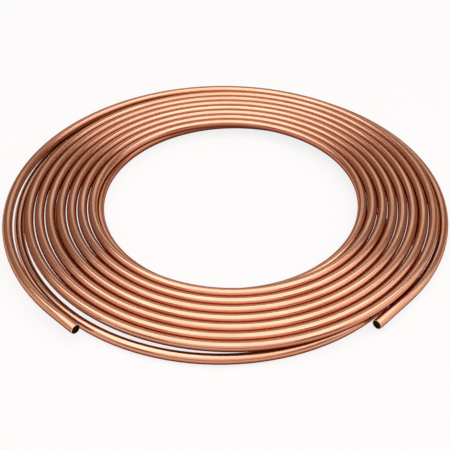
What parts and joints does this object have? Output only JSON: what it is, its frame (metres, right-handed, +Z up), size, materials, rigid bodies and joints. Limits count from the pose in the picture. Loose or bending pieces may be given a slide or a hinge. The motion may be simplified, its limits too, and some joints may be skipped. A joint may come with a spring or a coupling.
{
  "type": "copper tube coil",
  "caption": "Flat pancake coil of soft copper tube, one continuous length with an open eye and both cut ends outside.",
  "frame": {"origin": "on the floor, at the middle of the coil's eye, below the axis of its turns", "axes": "+Z up along the axis of the turns; +Y away from the two cut ends, so the ends lie at the front left and front right"},
  "size_m": [0.5903, 0.5754, 0.0258],
  "materials": {
    "copper": null
  },
  "bodies": {
    "root": {"coiled_tube": "copper"}
  },
  "joints": []
}
